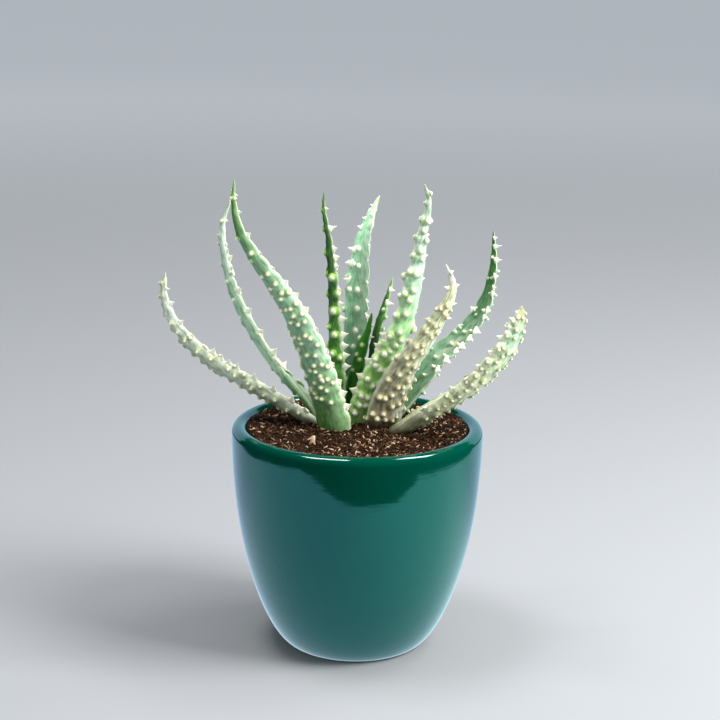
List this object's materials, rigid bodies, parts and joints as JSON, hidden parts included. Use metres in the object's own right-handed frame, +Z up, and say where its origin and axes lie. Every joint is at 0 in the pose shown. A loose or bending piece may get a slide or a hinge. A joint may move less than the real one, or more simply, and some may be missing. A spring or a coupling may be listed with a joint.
{
  "type": "potted aloe",
  "caption": "Small spined aloe with beaded, tooth-edged leaves, standing in soil in a round-bottomed glazed ceramic pot.",
  "frame": {"origin": "middle of the pot's flat foot, on the surface that the pot stands on", "axes": "+Z up out of the pot; -Y is the front, as the picture sees it; +X to the viewer's right"},
  "size_m": [0.1703, 0.12, 0.2275],
  "materials": {
    "green_glaze": "glossy",
    "potting_soil": "rough, crumbly",
    "aloe_skin": "waxy, satin"
  },
  "bodies": {
    "root": {"pot": "green_glaze", "soil": "potting_soil", "leaf_01": "aloe_skin", "leaf_02": "aloe_skin", "leaf_03": "aloe_skin", "leaf_04": "aloe_skin", "leaf_05": "aloe_skin", "leaf_06": "aloe_skin", "leaf_07": "aloe_skin", "leaf_08": "aloe_skin", "leaf_09": "aloe_skin", "leaf_10": "aloe_skin", "leaf_11": "aloe_skin"}
  },
  "joints": []
}
